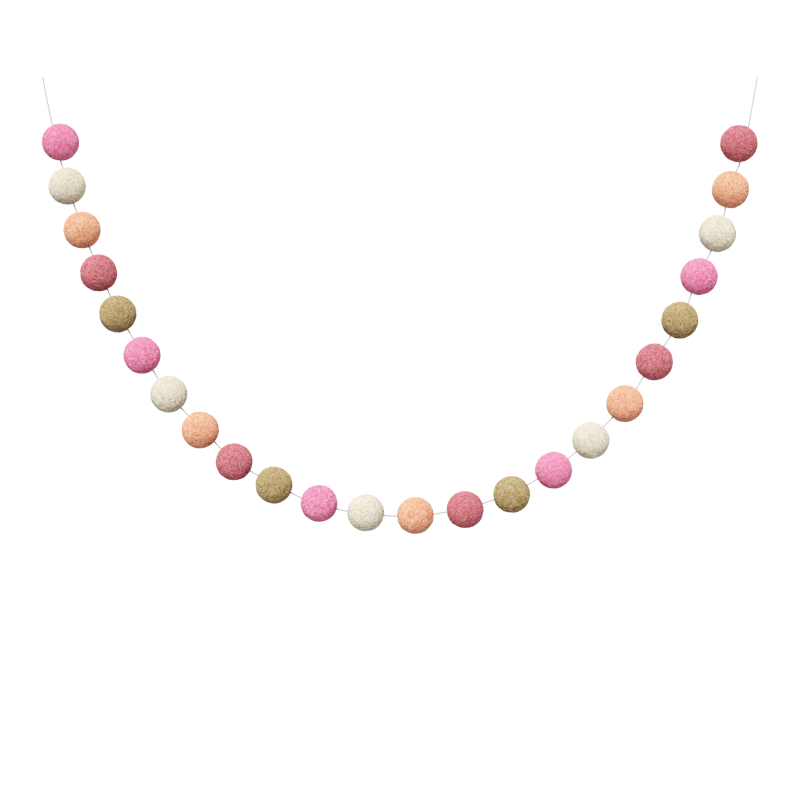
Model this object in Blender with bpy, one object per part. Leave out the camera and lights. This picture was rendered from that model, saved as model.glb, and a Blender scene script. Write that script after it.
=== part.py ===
"""Felt ball garland: wool felt balls threaded on one string, hanging in a U.

Metres, +Z up. The origin is the left end of the string, +X runs across to its right
end and +Y points away from the viewer, so the garland hangs in the XZ plane.
"""
import math
from collections import namedtuple

import bmesh
import bpy
from mathutils import Matrix, Vector, noise

MM = 0.001

# Driving dimensions
BALL_RADIUS = 12.5 * MM
STRING_RADIUS = 0.6 * MM
BORE_CLEARANCE = 0.3 * MM
STRING_SPAN = 483 * MM

# The balls' centres hang on the lower half of an ellipse, whose centre lies a little
# above the string's ends
SWAG_HALF_WIDTH = 237 * MM
SWAG_HALF_HEIGHT = 336 * MM
SWAG_CENTRE = Vector((241.5 * MM, 0, 37.8 * MM))
FIRST_BALL_DROP = 44.3 * MM

# A felted ball is never quite round
LUMP_HEIGHT = 0.22 * MM
LUMPS_PER_RADIUS = 1.1
LUMP_PATTERN_STEP = 7.3

# Mesh steps
BALL_SIDES = 18
BALL_BANDS = 11
STRING_END_STEPS = 4
MOUTH_REACH = BALL_RADIUS + 0.5 * MM
BEND_LENGTH = 2 * MM
HALVINGS = 40
SHARP_EDGE = math.radians(50)

# Each ball in its order on the string, sizes in millimetres: pitch is its distance from
# the ball before it, aside how far it sits outside the ellipse, and bore how far outside
# its own centre the string goes through it
Ball = namedtuple("Ball", "felt pitch aside bore")
BALLS = [
    Ball("pink", 0.0, -0.4, 2.8),
    Ball("cream", 29.9, 1.3, -0.8),
    Ball("peach", 31.2, -0.2, -0.6),
    Ball("rose", 31.2, -0.6, -1.1),
    Ball("khaki", 30.6, -0.7, -1.1),
    Ball("pink", 32.5, -0.9, -0.9),
    Ball("cream", 31.8, -0.3, -0.7),
    Ball("peach", 32.3, 0.2, -1.2),
    Ball("rose", 31.3, 1.5, -1.7),
    Ball("khaki", 31.0, 0.1, -0.8),
    Ball("pink", 33.0, -0.8, 0.0),
    Ball("cream", 32.3, -2.0, 0.3),
    Ball("peach", 34.0, -1.5, -0.3),
    Ball("rose", 33.9, 0.1, -1.4),
    Ball("khaki", 33.0, 1.3, -1.6),
    Ball("pink", 32.5, 1.3, -1.2),
    Ball("cream", 32.0, 1.1, -1.0),
    Ball("peach", 33.8, 0.5, -0.6),
    Ball("rose", 34.4, -0.5, -0.6),
    Ball("khaki", 33.1, -0.2, -0.5),
    Ball("pink", 32.3, -1.1, -0.1),
    Ball("cream", 31.6, 0.2, 0.1),
    Ball("peach", 30.9, 0.3, 0.3),
    Ball("rose", 31.6, -0.7, 3.7),
]

# Colours as they look in daylight, in 8-bit red, green and blue
FELT_COLOURS = {
    "pink": (230, 150, 180),
    "cream": (224, 217, 201),
    "peach": (232, 182, 154),
    "rose": (205, 130, 138),
    "khaki": (188, 168, 128),
}
STRING_COLOUR = (226, 226, 224)
FELT_ROUGHNESS = 0.95
STRING_ROUGHNESS = 0.8


def clear_scene():
    for leftover in list(bpy.data.objects):
        bpy.data.objects.remove(leftover, do_unlink=True)


def linear(channel):
    """The linear value of one 8-bit colour channel."""
    value = channel / 255
    if value <= 0.04045:
        return value / 12.92
    return ((value + 0.055) / 1.055) ** 2.4


def make_material(name, colour, roughness):
    material = bpy.data.materials.new(name)
    material.use_nodes = True
    shader = material.node_tree.nodes["Principled BSDF"]
    rgba = [linear(channel) for channel in colour] + [1.0]
    shader.inputs["Base Color"].default_value = rgba
    shader.inputs["Roughness"].default_value = roughness
    shader.inputs["Metallic"].default_value = 0.0
    material.diffuse_color = rgba
    return material


def on_swag(angle):
    """A point of the ellipse: 0 is its left side, a quarter turn its lowest point."""
    across = -SWAG_HALF_WIDTH * math.cos(angle)
    down = -SWAG_HALF_HEIGHT * math.sin(angle)
    return SWAG_CENTRE + Vector((across, 0, down))


def out_of_swag(angle):
    """The direction square to the ellipse, away from its middle."""
    across = -math.cos(angle) / SWAG_HALF_WIDTH
    down = -math.sin(angle) / SWAG_HALF_HEIGHT
    return Vector((across, 0, down)).normalized()


def next_angle(angle, pitch):
    """The angle of the point that lies one pitch further round the ellipse."""
    start = on_swag(angle)
    near = angle
    far = angle + 2 * pitch / SWAG_HALF_WIDTH
    for _ in range(HALVINGS):
        middle = (near + far) / 2
        if (on_swag(middle) - start).length < pitch:
            near = middle
        else:
            far = middle
    return near


Place = namedtuple("Place", "centre pierced way out")


def ball_places():
    """Where each ball's centre is, where the string pierces it, and which way it runs."""
    angle = math.asin((SWAG_CENTRE.z + FIRST_BALL_DROP) / SWAG_HALF_HEIGHT)
    centres = []
    pierced = [Vector((0, 0, 0))]
    for ball in BALLS:
        angle = next_angle(angle, ball.pitch * MM)
        out = out_of_swag(angle)
        centres.append(on_swag(angle) + out * ball.aside * MM)
        pierced.append(centres[-1] + out * ball.bore * MM)
    pierced.append(Vector((STRING_SPAN, 0, 0)))

    places = []
    for index, centre in enumerate(centres):
        way = (pierced[index + 2] - pierced[index]).normalized()
        out = Vector((way.z, 0, -way.x))
        places.append(Place(centre, pierced[index + 1], way, out))
    return places


def lump(direction, seed):
    """How far the felt stands above or below the round ball in a direction."""
    pattern = Vector((0, 0, LUMP_PATTERN_STEP * seed))
    return LUMP_HEIGHT * noise.noise(direction * LUMPS_PER_RADIUS + pattern)


def ball_rings(bore_offset, seed):
    """Rings of points from one mouth of the bore, over the ball, to the other mouth."""
    bore_radius = STRING_RADIUS + BORE_CLEARANCE
    inside = Vector((bore_offset, 0, 0))
    turns = [2 * math.pi * side / BALL_SIDES for side in range(BALL_SIDES)]

    def mouth(sign):
        ring = []
        for turn in turns:
            edge = inside + bore_radius * Vector((math.cos(turn), math.sin(turn), 0))
            facing = Vector((edge.x, edge.y, sign * BALL_RADIUS)).normalized()
            radius = BALL_RADIUS + lump(facing, seed)
            edge.z = sign * math.sqrt(radius ** 2 - edge.x ** 2 - edge.y ** 2)
            ring.append(edge)
        return ring

    rings = [mouth(1)]
    for band in range(1, BALL_BANDS):
        tilt = math.pi * band / BALL_BANDS
        ring = []
        for turn in turns:
            aside = math.sin(tilt)
            ray = Vector((aside * math.cos(turn), aside * math.sin(turn), math.cos(tilt)))
            along = inside.dot(ray)
            reach = math.sqrt(along ** 2 + BALL_RADIUS ** 2 - inside.length_squared) - along
            facing = (inside + ray * reach).normalized()
            ring.append(facing * (BALL_RADIUS + lump(facing, seed)))
        rings.append(ring)
    rings.append(mouth(-1))
    return rings


def make_ball_mesh(name, bore_offset, seed):
    """A slightly lumpy ball with a straight bore along its own Z."""
    bm = bmesh.new()
    rings = [[bm.verts.new(point) for point in ring] for ring in ball_rings(bore_offset, seed)]
    loops = rings + [rings[0]]
    for upper, lower in zip(loops, loops[1:]):
        for side in range(BALL_SIDES):
            after = (side + 1) % BALL_SIDES
            bm.faces.new((upper[side], lower[side], lower[after], upper[after]))
    bmesh.ops.recalc_face_normals(bm, faces=bm.faces)
    mesh = bpy.data.meshes.new(name)
    bm.to_mesh(mesh)
    bm.free()
    mesh.shade_smooth()
    mesh.set_sharp_from_angle(angle=SHARP_EDGE)
    return mesh


def make_ball(index, place, material, garland):
    ball = BALLS[index]
    name = f"ball_{index + 1:02d}_{ball.felt}"
    bore_offset = (place.pierced - place.centre).dot(place.out)
    mesh = make_ball_mesh(name, bore_offset, index)
    mesh.materials.append(material)
    obj = bpy.data.objects.new(name, mesh)
    bpy.context.collection.objects.link(obj)
    back = place.way.cross(place.out)
    turn = Matrix((place.out, back, place.way)).transposed()
    obj.location = place.centre
    obj.rotation_euler = turn.to_euler()
    obj.parent = garland
    return obj


def smooth_step(start, start_way, end, end_way, share):
    """A point of the taut line from start to end, which bends to their ways near them."""
    pull = min((end - start).length, BEND_LENGTH)
    from_start = (1 + 2 * share) * (1 - share) ** 2
    from_end = (3 - 2 * share) * share ** 2
    start_pull = pull * share * (1 - share) ** 2
    end_pull = -pull * (1 - share) * share ** 2
    return start * from_start + end * from_end + start_way * start_pull + end_way * end_pull


def string_points(places):
    """The string's route: straight through each ball, and taut between them."""
    left_end = Vector((0, 0, 0))
    right_end = Vector((STRING_SPAN, 0, 0))
    stations = []
    for place in places:
        stations.append((place.pierced - place.way * MOUTH_REACH, place.way, 1))
        stations.append((place.pierced + place.way * MOUTH_REACH, place.way, 2))
    first = stations[0][0]
    last, last_way, _ = stations[-1]
    stations[-1] = (last, last_way, STRING_END_STEPS)
    stations.insert(0, (left_end, (first - left_end).normalized(), STRING_END_STEPS))
    stations.append((right_end, (right_end - last).normalized(), 1))

    points = []
    for (start, start_way, steps), (end, end_way, _) in zip(stations, stations[1:]):
        for step in range(steps):
            points.append(smooth_step(start, start_way, end, end_way, step / steps))
    points.append(stations[-1][0])
    return points


def make_string(points, material, garland):
    curve = bpy.data.curves.new("string", "CURVE")
    curve.dimensions = "3D"
    curve.bevel_depth = STRING_RADIUS
    curve.bevel_resolution = 2
    curve.use_fill_caps = True
    spline = curve.splines.new("POLY")
    spline.points.add(len(points) - 1)
    for target, point in zip(spline.points, points):
        target.co = (*point, 1.0)
    spline.use_smooth = True
    curve.materials.append(material)
    obj = bpy.data.objects.new("string", curve)
    bpy.context.collection.objects.link(obj)
    obj.parent = garland
    return obj


def build():
    clear_scene()
    garland = bpy.data.objects.new("garland", None)
    bpy.context.collection.objects.link(garland)
    felts = {}
    for felt, colour in FELT_COLOURS.items():
        felts[felt] = make_material(f"felt_{felt}", colour, FELT_ROUGHNESS)
    twine = make_material("string", STRING_COLOUR, STRING_ROUGHNESS)
    places = ball_places()
    for index, place in enumerate(places):
        make_ball(index, place, felts[BALLS[index].felt], garland)
    make_string(string_points(places), twine, garland)


build()
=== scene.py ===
import math
from collections import namedtuple

import bpy
import numpy as np
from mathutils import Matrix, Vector, noise


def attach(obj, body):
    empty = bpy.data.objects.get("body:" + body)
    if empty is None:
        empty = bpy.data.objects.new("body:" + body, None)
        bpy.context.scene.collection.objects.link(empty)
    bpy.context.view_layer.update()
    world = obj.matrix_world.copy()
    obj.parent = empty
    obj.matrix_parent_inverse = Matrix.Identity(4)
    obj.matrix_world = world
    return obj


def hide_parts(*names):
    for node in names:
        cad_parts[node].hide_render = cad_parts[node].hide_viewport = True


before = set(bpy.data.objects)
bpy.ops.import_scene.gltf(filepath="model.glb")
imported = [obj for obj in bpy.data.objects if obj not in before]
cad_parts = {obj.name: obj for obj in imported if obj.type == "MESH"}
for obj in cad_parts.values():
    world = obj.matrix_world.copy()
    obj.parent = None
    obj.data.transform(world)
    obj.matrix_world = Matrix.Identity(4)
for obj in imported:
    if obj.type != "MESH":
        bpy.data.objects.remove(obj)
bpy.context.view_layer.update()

# Felt ball garland: wool felt balls threaded on one string, hanging in a U.
# Metres, +Z up. The origin is the left end of the string, and +Y points away from the
# viewer, so the garland hangs in the XZ plane.
MM = 0.001

# The garland's own sizes, as its solids have them
BALL_RADIUS = 12.5 * MM
STRING_RADIUS = 0.6 * MM
STRING_SPAN = 483 * MM
SWAG_HALF_WIDTH = 237 * MM
SWAG_HALF_HEIGHT = 336 * MM
SWAG_CENTRE = Vector((241.5 * MM, 0, 37.8 * MM))
FIRST_BALL_DROP = 44.3 * MM
LUMP_HEIGHT = 0.22 * MM
LUMPS_PER_RADIUS = 1.1
LUMP_PATTERN_STEP = 7.3
MOUTH_REACH = BALL_RADIUS + 0.5 * MM
BEND_LENGTH = 2 * MM
HALVINGS = 40

# Each ball in its order on the string, sizes in millimetres: pitch is its distance from
# the ball before it, aside how far it sits outside the ellipse, and bore how far outside
# its own centre the string goes through it
Ball = namedtuple("Ball", "felt pitch aside bore")
BALLS = [
    Ball("pink", 0.0, -0.4, 2.8),
    Ball("cream", 29.9, 1.3, -0.8),
    Ball("peach", 31.2, -0.2, -0.6),
    Ball("rose", 31.2, -0.6, -1.1),
    Ball("khaki", 30.6, -0.7, -1.1),
    Ball("pink", 32.5, -0.9, -0.9),
    Ball("cream", 31.8, -0.3, -0.7),
    Ball("peach", 32.3, 0.2, -1.2),
    Ball("rose", 31.3, 1.5, -1.7),
    Ball("khaki", 31.0, 0.1, -0.8),
    Ball("pink", 33.0, -0.8, 0.0),
    Ball("cream", 32.3, -2.0, 0.3),
    Ball("peach", 34.0, -1.5, -0.3),
    Ball("rose", 33.9, 0.1, -1.4),
    Ball("khaki", 33.0, 1.3, -1.6),
    Ball("pink", 32.5, 1.3, -1.2),
    Ball("cream", 32.0, 1.1, -1.0),
    Ball("peach", 33.8, 0.5, -0.6),
    Ball("rose", 34.4, -0.5, -0.6),
    Ball("khaki", 33.1, -0.2, -0.5),
    Ball("pink", 32.3, -1.1, -0.1),
    Ball("cream", 31.6, 0.2, 0.1),
    Ball("peach", 30.9, 0.3, 0.3),
    Ball("rose", 31.6, -0.7, 3.7),
]

# The camera looks straight at the garland, and is as far off as its lens needs
LENS = 100
SENSOR = 36
VIEW_WIDTH = 540.5 * MM
VIEW_CENTRE = Vector((241.5 * MM, 0, -218.4 * MM))


def add_camera():
    lens = bpy.data.cameras.new("camera")
    lens.lens = LENS
    lens.sensor_width = SENSOR
    camera = bpy.data.objects.new("camera", lens)
    bpy.context.collection.objects.link(camera)
    camera.location = VIEW_CENTRE - Vector((0, VIEW_WIDTH * LENS / SENSOR, 0))
    camera.rotation_euler = (math.pi / 2, 0, 0)
    bpy.context.scene.camera = camera


add_camera()


class Varying:
    """A number that varies over a surface, as the socket that gives it."""

    def __init__(self, finish, socket):
        self.finish = finish
        self.socket = socket

    def __add__(self, other):
        return self.finish.maths("ADD", self, other)

    __radd__ = __add__

    def __sub__(self, other):
        return self.finish.maths("SUBTRACT", self, other)

    def __rsub__(self, other):
        return self.finish.maths("SUBTRACT", other, self)

    def __mul__(self, other):
        return self.finish.maths("MULTIPLY", self, other)

    __rmul__ = __mul__


class Nodes:
    """The nodes of a material or of the world."""

    def __init__(self, tree):
        self.tree = tree
        self.tree.nodes.clear()

    def node(self, kind, settings, sockets):
        made = self.tree.nodes.new(kind)
        for name, setting in settings.items():
            setattr(made, name, setting)
        for name, source in sockets.items():
            if isinstance(source, Varying):
                source = source.socket
            if isinstance(source, bpy.types.NodeSocket):
                self.tree.links.new(source, made.inputs[name])
            else:
                made.inputs[name].default_value = source
        return made


# How fast a fine line of the felt fades to its sides
LINE_FALL = 9.0


class Finish(Nodes):
    """One material and the nodes that make it."""

    def __init__(self, name):
        self.material = bpy.data.materials.new(name)
        self.material.use_nodes = True
        super().__init__(self.material.node_tree)

    def maths(self, operation, first, second):
        made = self.node("ShaderNodeMath", {"operation": operation}, {0: first, 1: second})
        return Varying(self, made.outputs[0])

    def place(self):
        return self.node("ShaderNodeTexCoord", {}, {}).outputs["Object"]

    def number(self, name):
        """A number that is stored on the mesh."""
        made = self.node("ShaderNodeAttribute", {"attribute_name": name}, {})
        return Varying(self, made.outputs["Fac"])

    def grain(self, place, scale, detail=2.0):
        """Uneven values round zero, that change over 1 / scale."""
        made = self.node(
            "ShaderNodeTexNoise", {}, {"Vector": place, "Scale": scale, "Detail": detail}
        )
        return Varying(self, made.outputs["Fac"]) - 0.5

    def fibres(self, place, lies, width, length):
        """Fine crossing lines, up to 1 on a line, that run along each of the lies."""
        most = 0.0
        for lie in lies:
            along = self.node(
                "ShaderNodeMapping",
                {"vector_type": "TEXTURE"},
                {"Vector": place, "Rotation": lie, "Scale": (length, width, width)},
            )
            swing = self.grain(along.outputs["Vector"], 1.0, 1.0)
            line = 1.0 - LINE_FALL * self.maths("ABSOLUTE", swing, 0.0)
            most = self.maths("MAXIMUM", line, most)
        return most

    def blend(self, share, first, second):
        """The first colour where share is 0 and the second where it is 1."""
        made = self.node(
            "ShaderNodeMix",
            {"data_type": "RGBA", "clamp_factor": True},
            {"Factor": share, 6: first, 7: second},
        )
        return made.outputs[2]

    def bump(self, height, depth):
        made = self.node(
            "ShaderNodeBump", {}, {"Height": height, "Distance": depth, "Strength": 1.0}
        )
        return made.outputs["Normal"]

    def surface(self, sockets):
        shader = self.node("ShaderNodeBsdfPrincipled", {}, sockets)
        self.node("ShaderNodeOutputMaterial", {}, {"Surface": shader.outputs["BSDF"]})
        return self.material


def linear(channel):
    """The linear value of one 8-bit colour channel."""
    value = channel / 255
    if value <= 0.04045:
        return value / 12.92
    return ((value + 0.055) / 1.055) ** 2.4


def from_srgb(red, green, blue):
    return (linear(red), linear(green), linear(blue), 1.0)


# Wool in its pits, in the body of the felt and at the tips: the body is the wool's own
# colour, the darker pit colour is painted shade and the paler tip colour painted light
Wool = namedtuple("Wool", "pit body tip")
WOOLS = {
    "pink": Wool(from_srgb(194, 80, 122), from_srgb(233, 147, 177), from_srgb(245, 184, 207)),
    "cream": Wool(from_srgb(186, 173, 147), from_srgb(223, 216, 197), from_srgb(239, 235, 223)),
    "peach": Wool(from_srgb(198, 116, 80), from_srgb(234, 176, 149), from_srgb(246, 206, 184)),
    "rose": Wool(from_srgb(148, 62, 74), from_srgb(200, 130, 137), from_srgb(224, 163, 169)),
    "khaki": Wool(from_srgb(126, 104, 60), from_srgb(178, 159, 124), from_srgb(206, 190, 158)),
}

# The felt's single fibres and the bundles in which they gather: their size, how much
# lighter and higher they are than the gaps between them, and the ways in which they
# cross each other, as turns about X, Y and Z. The lighter lines are partly the felt's own
# grain, and the darker gaps between them are painted shade.
FIBRE_LENGTH = 3.0 * MM
FIBRE_WIDTH = 0.35 * MM
FIBRE_TONE = 0.28
FIBRE_LIES = (
    (0.3, 0.2, 0.1),
    (1.1, 0.7, 0.9),
    (2.0, 0.4, 1.9),
    (0.6, 1.3, 2.6),
    (2.6, 0.9, 0.5),
)
BUNDLE_LENGTH = 2.4 * MM
BUNDLE_WIDTH = 0.8 * MM
BUNDLE_TONE = 0.55
BUNDLE_HEIGHT = 1.5
BUNDLE_LIES = ((0.9, 0.3, 0.2), (1.9, 0.8, 1.7), (0.2, 1.2, 2.5))
GAP_SHADE = 0.42
FELT_DEPTH = 0.14 * MM

# How far apart the fibres' curls are, and how far they reach aside
CURL_LENGTH = 2.0 * MM
CURL_REACH = 1.2 * MM


def felted_wool(name, wool):
    finish = Finish(name)
    place = finish.place()
    bent = finish.node(
        "ShaderNodeTexNoise", {}, {"Vector": place, "Scale": 1 / CURL_LENGTH, "Detail": 1.0}
    )
    curled = finish.node(
        "ShaderNodeVectorMath",
        {"operation": "MULTIPLY_ADD"},
        {0: bent.outputs["Color"], 1: (CURL_REACH,) * 3, 2: place},
    )
    curl = curled.outputs["Vector"]
    fibres = finish.fibres(curl, FIBRE_LIES, FIBRE_WIDTH, FIBRE_LENGTH)
    bundles = finish.fibres(curl, BUNDLE_LIES, BUNDLE_WIDTH, BUNDLE_LENGTH)
    matted = finish.number("matted")
    # Partly the felt's own grain and partly painted shade that darkens the gaps between the lines
    lines = FIBRE_TONE * fibres + BUNDLE_TONE * bundles - GAP_SHADE
    tone = finish.number("tone") + matted * lines
    # Up to a tone of one half the pit's painted shade turns to the body's colour, and then to
    # the tip's painted light
    shaded = finish.blend(2.0 * tone, wool.pit, wool.body)
    colour = finish.blend(2.0 * tone - 1.0, shaded, wool.tip)
    height = matted * (fibres + BUNDLE_HEIGHT * bundles)
    return finish.surface(
        {
            "Base Color": colour,
            "Roughness": 0.95,
            "Diffuse Roughness": 1.0,
            "Specular IOR Level": 0.1,
            "Sheen Weight": 0.3,
            "Sheen Roughness": 0.5,
            "Sheen Tint": wool.tip,
            "Normal": finish.bump(height, FELT_DEPTH),
        }
    )


# The string's cotton, darker in the grooves between its plies as painted shade and paler on
# them, and its loose grain
GROOVE_PAINTED_SHADE = from_srgb(150, 151, 154)
COTTON_PLY = from_srgb(215, 216, 218)
COTTON_GRAIN = 3.0 / MM
COTTON_TONES = 0.8
COTTON_DEPTH = 0.04 * MM


def twisted_cotton(name):
    finish = Finish(name)
    fibres = finish.grain(finish.place(), COTTON_GRAIN)
    # The groove colour is painted shade between the plies
    tone = finish.number("tone") + COTTON_TONES * fibres
    return finish.surface(
        {
            "Base Color": finish.blend(tone, GROOVE_PAINTED_SHADE, COTTON_PLY),
            "Roughness": 0.8,
            "Specular IOR Level": 0.2,
            "Sheen Weight": 0.2,
            "Sheen Roughness": 0.5,
            "Normal": finish.bump(fibres, COTTON_DEPTH),
        }
    )


def on_swag(angle):
    """A point of the ellipse: 0 is its left side, a quarter turn its lowest point."""
    across = -SWAG_HALF_WIDTH * math.cos(angle)
    down = -SWAG_HALF_HEIGHT * math.sin(angle)
    return SWAG_CENTRE + Vector((across, 0, down))


def out_of_swag(angle):
    """The direction square to the ellipse, away from its middle."""
    across = -math.cos(angle) / SWAG_HALF_WIDTH
    down = -math.sin(angle) / SWAG_HALF_HEIGHT
    return Vector((across, 0, down)).normalized()


def next_angle(angle, pitch):
    """The angle of the point that lies one pitch further round the ellipse."""
    start = on_swag(angle)
    near = angle
    far = angle + 2 * pitch / SWAG_HALF_WIDTH
    for _ in range(HALVINGS):
        middle = (near + far) / 2
        if (on_swag(middle) - start).length < pitch:
            near = middle
        else:
            far = middle
    return near


Place = namedtuple("Place", "centre pierced way out")


def ball_places():
    """Where each ball's centre is, where the string pierces it, and which way it runs."""
    angle = math.asin((SWAG_CENTRE.z + FIRST_BALL_DROP) / SWAG_HALF_HEIGHT)
    centres = []
    pierced = [Vector((0, 0, 0))]
    for ball in BALLS:
        angle = next_angle(angle, ball.pitch * MM)
        out = out_of_swag(angle)
        centres.append(on_swag(angle) + out * ball.aside * MM)
        pierced.append(centres[-1] + out * ball.bore * MM)
    pierced.append(Vector((STRING_SPAN, 0, 0)))

    places = []
    for index, centre in enumerate(centres):
        way = (pierced[index + 2] - pierced[index]).normalized()
        out = Vector((way.z, 0, -way.x))
        places.append(Place(centre, pierced[index + 1], way, out))
    return places


def smooth_step(start, start_way, end, end_way, share):
    """A point of the taut line from start to end, which bends to their ways near them."""
    pull = min((end - start).length, BEND_LENGTH)
    from_start = (1 + 2 * share) * (1 - share) ** 2
    from_end = (3 - 2 * share) * share ** 2
    start_pull = pull * share * (1 - share) ** 2
    end_pull = -pull * (1 - share) * share ** 2
    return start * from_start + end * from_end + start_way * start_pull + end_way * end_pull


RING_PITCH = 0.42 * MM


def string_route(places):
    """Points down the middle of the string, a ring pitch apart."""
    left_end = Vector((0, 0, 0))
    right_end = Vector((STRING_SPAN, 0, 0))
    stations = []
    for place in places:
        stations.append((place.pierced - place.way * MOUTH_REACH, place.way))
        stations.append((place.pierced + place.way * MOUTH_REACH, place.way))
    first = stations[0][0]
    last = stations[-1][0]
    stations.insert(0, (left_end, (first - left_end).normalized()))
    stations.append((right_end, (right_end - last).normalized()))

    points = []
    for (start, start_way), (end, end_way) in zip(stations, stations[1:]):
        steps = max(1, round((end - start).length / RING_PITCH))
        for step in range(steps):
            points.append(smooth_step(start, start_way, end, end_way, step / steps))
    points.append(stations[-1][0])
    return np.array(points)


def unit(rows):
    return rows / np.linalg.norm(rows, axis=-1, keepdims=True)


class Pile:
    """Points and faces that are gathered into one mesh, with what each point stores."""

    def __init__(self):
        self.points = []
        self.stored = {}
        self.faces = {3: [], 4: []}
        self.count = 0

    def add(self, points, faces, **stored):
        self.points.append(points.reshape(-1, 3))
        for name, numbers in stored.items():
            self.stored.setdefault(name, []).append(numbers.ravel())
        for rows in faces:
            self.faces[rows.shape[-1]].append(rows.reshape(-1, rows.shape[-1]) + self.count)
        self.count += len(self.points[-1])

    def mesh(self, name):
        mesh = bpy.data.meshes.new(name)
        mesh.vertices.add(self.count)
        mesh.vertices.foreach_set("co", np.concatenate(self.points).ravel())
        corners = []
        starts = []
        start = 0
        for sides, rows in self.faces.items():
            if rows:
                rows = np.concatenate(rows)
                corners.append(rows.ravel())
                starts.append(start + sides * np.arange(len(rows)))
                start += rows.size
        mesh.loops.add(start)
        mesh.loops.foreach_set("vertex_index", np.concatenate(corners))
        starts = np.concatenate(starts)
        mesh.polygons.add(len(starts))
        mesh.polygons.foreach_set("loop_start", starts)
        mesh.update(calc_edges=True)
        for name, numbers in self.stored.items():
            attribute = mesh.attributes.new(name, "FLOAT", "POINT")
            attribute.data.foreach_set("value", np.concatenate(numbers))
        mesh.shade_smooth()
        return mesh


def lathe_faces(rings, sides, closed):
    """The four-sided faces between rings of points, and round to the first if closed."""
    upper = np.arange(rings if closed else rings - 1)[:, None]
    side = np.arange(sides)[None, :]
    lower = (upper + 1) % rings
    after = (side + 1) % sides
    return np.stack(
        [upper * sides + side, lower * sides + side, lower * sides + after, upper * sides + after],
        axis=-1,
    )


def add_piece(name, mesh, material, slot, *nodes):
    mesh.materials.append(material)
    piece = bpy.data.objects.new(name, mesh)
    bpy.context.collection.objects.link(piece)
    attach(piece, "root")
    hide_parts(*nodes)
    return piece


# Three plies that touch each other inside the string's round, each drawn through points
# at these angles from its own direction. A point's tone is how far out it lies, as a
# part of the string's radius, less the shade, so the grooves between the plies are
# darker with painted shade.
PLIES = 3
PLY_RADIUS = 0.464 * STRING_RADIUS
PLY_ANGLES = np.radians((-50, -18, 18, 50))
TWIST_PITCH = 4.8 * MM
PLY_SHADE = 0.15
BACKWARD = np.array((0.0, 1.0, 0.0))


def ply_outline():
    """The angle and radius of each point round three plies that lie side by side."""
    offset = STRING_RADIUS - PLY_RADIUS
    radii = offset * np.cos(PLY_ANGLES)
    radii += np.sqrt(PLY_RADIUS ** 2 - (offset * np.sin(PLY_ANGLES)) ** 2)
    turns = 2 * math.pi * np.arange(PLIES) / PLIES
    angles = (turns[:, None] + PLY_ANGLES[None, :]).ravel()
    return angles, np.tile(radii, PLIES)


def add_string(route):
    angles, radii = ply_outline()
    ways = unit(np.gradient(route, axis=0))
    flat = np.cross(ways, BACKWARD)
    lengths = np.linalg.norm(np.diff(route, axis=0), axis=1)
    along = np.concatenate([[0.0], np.cumsum(lengths)])
    turn = angles[None, :] + 2 * math.pi * along[:, None] / TWIST_PITCH
    spokes = np.cos(turn)[..., None] * flat[:, None, :] + np.sin(turn)[..., None] * BACKWARD
    points = route[:, None, :] + radii[None, :, None] * spokes

    rings, sides = turn.shape
    first = np.arange(sides)
    last = (rings - 1) * sides + first
    caps = []
    for ring in (first, last[::-1]):
        caps.append(np.stack([np.repeat(ring[0], sides - 2), ring[1:-1], ring[2:]], axis=-1))
    # Painted shade: points deeper in the grooves between the plies take a lower tone
    tones = np.broadcast_to(radii / STRING_RADIUS, (rings, sides)) - PLY_SHADE
    pile = Pile()
    pile.add(points, [lathe_faces(rings, sides, False), *caps], tone=tones)
    mesh = pile.mesh("string")
    piece = add_piece("twisted_string", mesh, twisted_cotton("string"), "string", "string")


# The mesh of a ball's body
CORE_SIDES = 160
CORE_BANDS = 84
BORE_STEPS = 4
BORE_RADIUS = STRING_RADIUS + 0.12 * MM
RIM_RADIUS = 2.0 * BORE_RADIUS

# Its wide shallow dents, a number of waves and their length in ball radii, and the dimple
# that the string draws in at each mouth
DENT_WAVES = 24
DENT_LENGTH = 0.55
DENT_HEIGHT = 0.05 * MM
DIMPLE_DEPTH = 0.45 * MM
DIMPLE_REACH = 1.5 * MM

# The lie of its wool, in ball radii, and three grains that are drawn out along it: the
# first two stand up as locks above a level, and the third makes them uneven
LIE_WAVES = 8
LIE_LENGTH = 1.5
GRAIN_WAVES = 32
GRAIN_LENGTHS = (0.95 * MM, 1.05 * MM, 1.3 * MM)
STREAK_STEPS = 2
STREAK_STEP = 0.38 * MM
LOCK_GAIN = 0.9
LOCK_LEVEL = 0.55
UNEVEN_GAIN = 0.4
RELIEF_HEIGHT = 0.2 * MM
RELIEF_SUNK = 0.3
# The body's tone, lowered in its pits and raised on its locks as painted shade and light
CORE_TONE = 0.45
RELIEF_PAINTED_SHADE = 0.3

# The fine strands that lie flat on it
STRANDS = 480
STRAND_JOINTS = 5
STRAND_LENGTHS = (2.5 * MM, 6 * MM)
STRAND_WIDTHS = (0.06 * MM, 0.14 * MM)
STRAND_RISES = (0.0, 0.08 * MM)
STRAND_SUNK = 0.15 * MM
STRAND_SCATTER = 0.9
STRAND_BENDS = 0.5
STRAND_FOLLOW = 0.2
STRAND_TONE = 0.63
STRAND_TONES = 0.22

# The single fibres that stand off it: their steps and reaches in millimetres, and the
# heights of their joints as parts of the reach
FUZZ_HAIRS = 90
FUZZ_STEPS = (0.4, 1.1)
FUZZ_REACHES = (0.25, 0.75)
FUZZ_LIFTS = np.array((-0.3, 0.35, 0.85, 1.0))
FUZZ_WIDTH = 0.06 * MM
FUZZ_BENDS = 0.4
FUZZ_TONE = 0.8

# How far the even directions are scattered, the corners of a strand's section, and the
# seed of the first ball's draws
SPREAD = 0.6
SECTION = np.radians((90, 210, 330))
FIRST_SEED = 20


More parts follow.
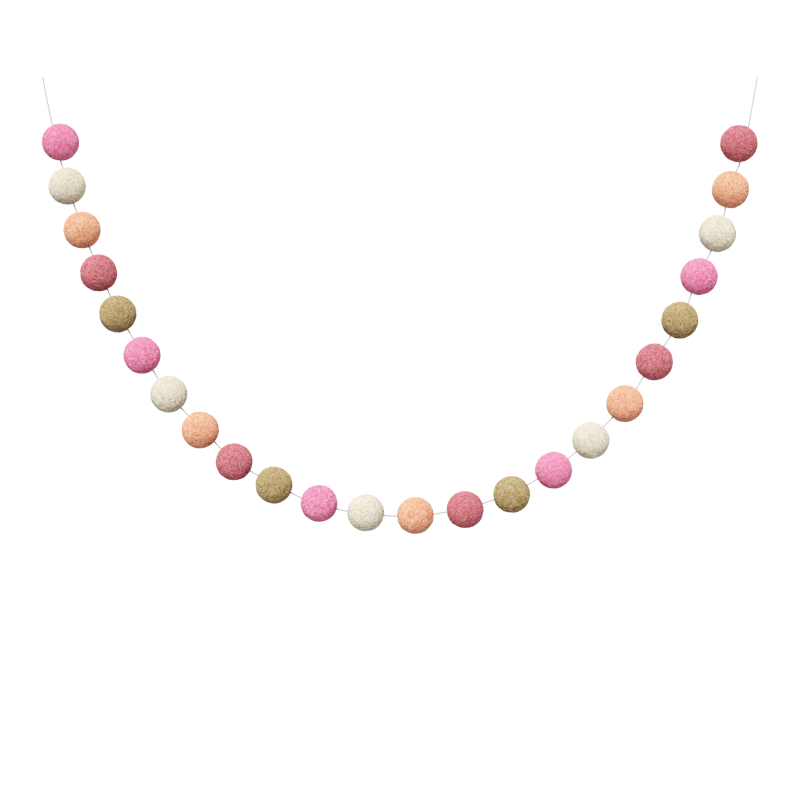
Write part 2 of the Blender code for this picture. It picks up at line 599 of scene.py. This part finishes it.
def ripples(draw, length, count):
    """A smooth uneven pattern of points, a sum of count waves that are length long."""
    ways = unit(draw.normal(size=(count, 3))) * 2 * math.pi / length
    starts = draw.uniform(0, 2 * math.pi, count)

    def height(points):
        return np.sin(points @ ways.T + starts).sum(-1) / math.sqrt(count / 2)

    return height


def level(ways, facing):
    """Ways laid flat on the ball's outside."""
    return unit(ways - (ways * facing).sum(-1, keepdims=True) * facing)


def onward(ways, before):
    """Ways that have no front or back, turned the way that was followed before."""
    return ways * np.sign((ways * before).sum(-1, keepdims=True))


class Lie:
    """A way in which wool lies over the ball, and grain that is drawn out along it."""

    def __init__(self, draw, grain_length):
        self.ways = [ripples(draw, LIE_LENGTH, LIE_WAVES) for _ in range(3)]
        self.grain = ripples(draw, grain_length / BALL_RADIUS, GRAIN_WAVES)

    def way(self, facing):
        return level(np.stack([ripple(facing) for ripple in self.ways], axis=-1), facing)

    def streaks(self, facing):
        """Streaks that stand up to about 1 above or below the middle."""
        total = self.grain(facing)
        for sign in (1, -1):
            here = facing
            way = sign * self.way(here)
            for _ in range(STREAK_STEPS):
                here = unit(here + way * STREAK_STEP / BALL_RADIUS)
                way = onward(self.way(here), way)
                total = total + self.grain(here)
        return total / math.sqrt(2 * STREAK_STEPS + 1)


class FeltShape:
    """One ball's outside, in its own frame: the string's way is Z and the swag's out is X."""

    def __init__(self, draw, seed, bore):
        self.pattern = Vector((0, 0, LUMP_PATTERN_STEP * seed))
        self.bore = bore
        self.dents = ripples(draw, DENT_LENGTH, DENT_WAVES)
        self.lies = [Lie(draw, length) for length in GRAIN_LENGTHS]

    def relief(self, facing):
        """The matted wool, from about -1 in a pit to 1 on a lock."""
        first, second, third = (lie.streaks(facing) for lie in self.lies)
        locks = np.maximum(first, second) - LOCK_LEVEL
        return np.tanh(LOCK_GAIN * locks + UNEVEN_GAIN * third)

    def radius(self, facing, relief):
        rows = facing.reshape(-1, 3)
        lumps = [noise.noise(Vector(row) * LUMPS_PER_RADIUS + self.pattern) for row in rows]
        out = BALL_RADIUS + LUMP_HEIGHT * np.array(lumps).reshape(facing.shape[:-1])
        out = out + DENT_HEIGHT * self.dents(facing) + RELIEF_HEIGHT * (relief - RELIEF_SUNK)
        aside = np.hypot(facing[..., 0] * BALL_RADIUS - self.bore, facing[..., 1] * BALL_RADIUS)
        return out - DIMPLE_DEPTH * np.exp(-((aside / DIMPLE_REACH) ** 2))


def even_directions(count, draw):
    """Directions that are spread evenly over a ball, each a little off its even place."""
    step = np.arange(count) + 0.5
    height = 1 - 2 * step / count
    turn = math.pi * (1 + math.sqrt(5)) * step
    ring = np.sqrt(1 - height ** 2)
    even = np.stack([ring * np.cos(turn), ring * np.sin(turn), height], axis=-1)
    return unit(even + draw.normal(scale=SPREAD / math.sqrt(count), size=even.shape))


def add_core(pile, shape):
    """The ball's body: from one mouth of the bore over the outside to the other, and back."""
    inside = np.array((shape.bore, 0.0, 0.0))
    turns = 2 * math.pi * np.arange(CORE_SIDES) / CORE_SIDES
    spokes = np.stack([np.cos(turns), np.sin(turns), 0 * turns], axis=-1)

    def mouth(sign):
        edge = inside + BORE_RADIUS * spokes
        facing = unit(edge + np.array((0.0, 0.0, sign * BALL_RADIUS)))
        radius = shape.radius(facing, shape.relief(facing))
        edge[:, 2] = sign * np.sqrt(radius ** 2 - (edge ** 2).sum(-1))
        return edge

    first_tilt = RIM_RADIUS / BALL_RADIUS
    tilts = np.linspace(first_tilt, math.pi - first_tilt, CORE_BANDS)[:, None, None]
    rays = np.sin(tilts) * spokes + np.cos(tilts) * np.array((0.0, 0.0, 1.0))
    along = rays @ inside
    reach = np.sqrt(along ** 2 + BALL_RADIUS ** 2 - inside @ inside) - along
    facing = unit(inside + rays * reach[..., None])
    relief = shape.relief(facing)
    outside = facing * shape.radius(facing, relief)[..., None]

    top = mouth(1)
    bottom = mouth(-1)
    shares = np.arange(BORE_STEPS + 1)[:, None, None] / BORE_STEPS
    bore = bottom * (1 - shares) + top * shares
    points = np.concatenate([bore[-1:], outside, bore[:-1]])
    tones = np.full(points.shape[:-1], CORE_TONE)
    # Painted shade and light: the tone follows the relief, darker in the pits and lighter on the
    # locks
    tones[1:CORE_BANDS + 1] += RELIEF_PAINTED_SHADE * relief
    faces = [lathe_faces(len(points), CORE_SIDES, True)]
    pile.add(points, faces, tone=tones, matted=np.ones(tones.shape))


def prism_faces(joints, strands):
    """The faces of closed three-sided strands with a point at each end."""
    size = 3 * (joints - 2) + 2
    last = size - 1
    ends = []
    walls = []
    for side in range(3):
        after = (side + 1) % 3
        ends.append((0, 1 + side, 1 + after))
        ends.append((last, last - 3 + after, last - 3 + side))
        for ring in range(joints - 3):
            here = 1 + 3 * ring
            walls.append((here + side, here + 3 + side, here + 3 + after, here + after))
    starts = size * np.arange(strands)[:, None, None]
    return [np.array(ends)[None] + starts, np.array(walls)[None] + starts]


def add_strands(pile, facing, ways, heights, widths, tones):
    """Closed strands through points at heights above the ball's middle, pointed at both ends.

    facing and ways are strand x joint x 3, heights is strand x joint, and widths and tones
    are one number for each strand.
    """
    strands, joints = heights.shape
    middles = facing * heights[..., None]
    sides = np.cross(facing, ways)[:, 1:-1, None]
    across = (widths[:, None] * np.cos(SECTION) / 2)[:, None, :, None]
    above = (widths[:, None] * np.sin(SECTION) / 2)[:, None, :, None]
    rings = middles[:, 1:-1, None] + across * sides + above * facing[:, 1:-1, None]
    rings = rings.reshape(strands, -1, 3)
    points = np.concatenate([middles[:, :1], rings, middles[:, -1:]], axis=1)
    tones = np.repeat(tones[:, None], points.shape[1], axis=1)
    pile.add(points, prism_faces(joints, strands), tone=tones, matted=np.zeros(tones.shape))


def trace(shape, starts, ways, steps, bends, joints, follow):
    """Joints of strands that run over the ball, bend, and turn with the lie of its wool."""
    facings = [starts]
    headings = [ways]
    for _ in range(joints - 1):
        here = facings[-1]
        lie = onward(shape.lies[0].way(here), headings[-1])
        sideways = np.cross(here, headings[-1])
        heading = level(headings[-1] + follow * lie + bends[:, None] * sideways, here)
        there = here * np.cos(steps)[:, None] + heading * np.sin(steps)[:, None]
        facings.append(unit(there))
        headings.append(level(heading, facings[-1]))
    return np.stack(facings, axis=1), np.stack(headings, axis=1)


def between(draw, bounds, count):
    return draw.uniform(bounds[0], bounds[1], count)


def add_flat_strands(pile, shape, draw):
    """Fine strands that lie flat on the ball, with both ends sunk in it."""
    starts = even_directions(STRANDS, draw)
    scatter = STRAND_SCATTER * draw.normal(size=starts.shape)
    ways = level(shape.lies[0].way(starts) + scatter, starts)
    steps = between(draw, STRAND_LENGTHS, STRANDS) / BALL_RADIUS / (STRAND_JOINTS - 1)
    bends = draw.normal(0, STRAND_BENDS, STRANDS)
    facing, ways = trace(shape, starts, ways, steps, bends, STRAND_JOINTS, STRAND_FOLLOW)

    bow = np.sin(math.pi * np.linspace(0, 1, STRAND_JOINTS)) ** 0.5
    rise = between(draw, STRAND_RISES, STRANDS)[:, None]
    lift = bow * (rise + STRAND_SUNK) - STRAND_SUNK
    heights = shape.radius(facing, shape.relief(facing)) + lift
    widths = between(draw, STRAND_WIDTHS, STRANDS)
    tones = draw.normal(STRAND_TONE, STRAND_TONES, STRANDS)

    aside = facing[..., :2] * BALL_RADIUS - np.array((shape.bore, 0.0))
    clear = np.linalg.norm(aside, axis=-1).min(axis=1) > BORE_RADIUS + widths
    rows = (facing, ways, heights, widths, tones)
    add_strands(pile, *(row[clear] for row in rows))


def add_fuzz(pile, shape, draw):
    """Single fibres that have worked loose and stand a little off the felt."""
    starts = even_directions(FUZZ_HAIRS, draw)
    ways = level(draw.normal(size=starts.shape), starts)
    steps = between(draw, FUZZ_STEPS, FUZZ_HAIRS) * MM / BALL_RADIUS
    bends = draw.normal(0, FUZZ_BENDS, FUZZ_HAIRS)
    facing, ways = trace(shape, starts, ways, steps, bends, len(FUZZ_LIFTS), 0.0)
    reach = between(draw, FUZZ_REACHES, FUZZ_HAIRS) * MM
    heights = shape.radius(facing, shape.relief(facing)) + FUZZ_LIFTS * reach[:, None]
    widths = np.full(FUZZ_HAIRS, FUZZ_WIDTH)
    tones = np.full(FUZZ_HAIRS, FUZZ_TONE)
    add_strands(pile, facing, ways, heights, widths, tones)


def add_ball(index, place, material):
    felt = BALLS[index].felt
    node = f"ball_{index + 1:02d}_{felt}"
    draw = np.random.default_rng(FIRST_SEED + index)
    bore = (place.pierced - place.centre).dot(place.out)
    shape = FeltShape(draw, index, bore)
    pile = Pile()
    add_core(pile, shape)
    add_flat_strands(pile, shape, draw)
    add_fuzz(pile, shape, draw)
    back = place.way.cross(place.out)
    turn = np.array((place.out, back, place.way))
    pile.points = [points @ turn + np.array(place.centre) for points in pile.points]
    add_piece(f"felt_{node}", pile.mesh(node), material, f"felt_{felt}", node)


# Azimuth 0 is the camera's side and 90 the right, and all three angles are in degrees
Sun = namedtuple("Sun", "name strength azimuth elevation softness")
SUNS = [
    Sun("key", 2.56, -10, 36, 25),
    Sun("left", 0.4, -90, -20, 60),
    Sun("bounce", 0.65, 90, -55, 60),
    Sun("side", 0.8, 120, -5, 50),
    Sun("back", 1.1, 200, 15, 40),
]
WHITE = (1.0, 1.0, 1.0, 1.0)
WHITE_STRENGTH = 1.1
FILL_COLOUR = (1.0, 0.97, 0.95, 1.0)
FILL_STRENGTH = 0.38
FLOOR_DEPTH = 0.75
FLOOR_SIZE = 12.0
FLOOR_GLOW = 0.45
FLOOR_COLOUR = (0.9, 0.9, 0.9, 1.0)


def add_sun(sun):
    lamp = bpy.data.lights.new(sun.name, "SUN")
    lamp.energy = sun.strength
    lamp.angle = math.radians(sun.softness)
    light = bpy.data.objects.new(sun.name, lamp)
    bpy.context.collection.objects.link(light)
    light.rotation_euler = (math.radians(90 - sun.elevation), 0, math.radians(sun.azimuth))


def add_world():
    """White behind the garland, and a much dimmer fill from all round it."""
    world = bpy.data.worlds.new("studio")
    bpy.context.scene.world = world
    world.use_nodes = True
    studio = Nodes(world.node_tree)
    rays = studio.node("ShaderNodeLightPath", {}, {})
    fill = studio.node(
        "ShaderNodeBackground", {}, {"Color": FILL_COLOUR, "Strength": FILL_STRENGTH}
    )
    white = studio.node("ShaderNodeBackground", {}, {"Color": WHITE, "Strength": WHITE_STRENGTH})
    either = studio.node(
        "ShaderNodeMixShader",
        {},
        {
            "Fac": rays.outputs["Is Camera Ray"],
            1: fill.outputs["Background"],
            2: white.outputs["Background"],
        },
    )
    studio.node("ShaderNodeOutputWorld", {}, {"Surface": either.outputs["Shader"]})


def add_floor():
    """A white floor well below the garland, that takes no part in its light."""
    finish = Finish("floor")
    finish.surface(
        {
            "Base Color": FLOOR_COLOUR,
            "Roughness": 1.0,
            "Specular IOR Level": 0.0,
            "Emission Color": WHITE,
            "Emission Strength": FLOOR_GLOW,
        }
    )
    mesh = bpy.data.meshes.new("floor")
    half = FLOOR_SIZE / 2
    corners = [(-half, -half, 0), (half, -half, 0), (half, half, 0), (-half, half, 0)]
    mesh.from_pydata(corners, [], [(0, 1, 2, 3)])
    mesh.materials.append(finish.material)
    floor = bpy.data.objects.new("floor", mesh)
    bpy.context.collection.objects.link(floor)
    floor.location = (STRING_SPAN / 2, 0, -FLOOR_DEPTH)
    floor.visible_diffuse = False
    floor.visible_glossy = False
    floor.visible_shadow = False


FILM_STEPS = 16
FILM_CONTRAST = 1.8
FILM_SHOULDER = 0.3


def film(light):
    """What a camera shows for an amount of light: darker shades and soft light tones."""
    raised = light ** FILM_CONTRAST
    return raised * (1 + FILM_SHOULDER) / (raised + FILM_SHOULDER)


def add_film():
    view = bpy.context.scene.view_settings
    view.view_transform = "Standard"
    view.use_curve_mapping = True
    every_colour = view.curve_mapping.curves[3]
    for step in range(1, FILM_STEPS):
        light = (step / FILM_STEPS) ** 2
        every_colour.points.new(light, film(light))
    view.curve_mapping.update()


places = ball_places()
add_string(string_route(places))
felts = {name: felted_wool(f"felt_{name}", wool) for name, wool in WOOLS.items()}
for index, place in enumerate(places):
    add_ball(index, place, felts[BALLS[index].felt])

add_world()
for sun in SUNS:
    add_sun(sun)
add_floor()
add_film()
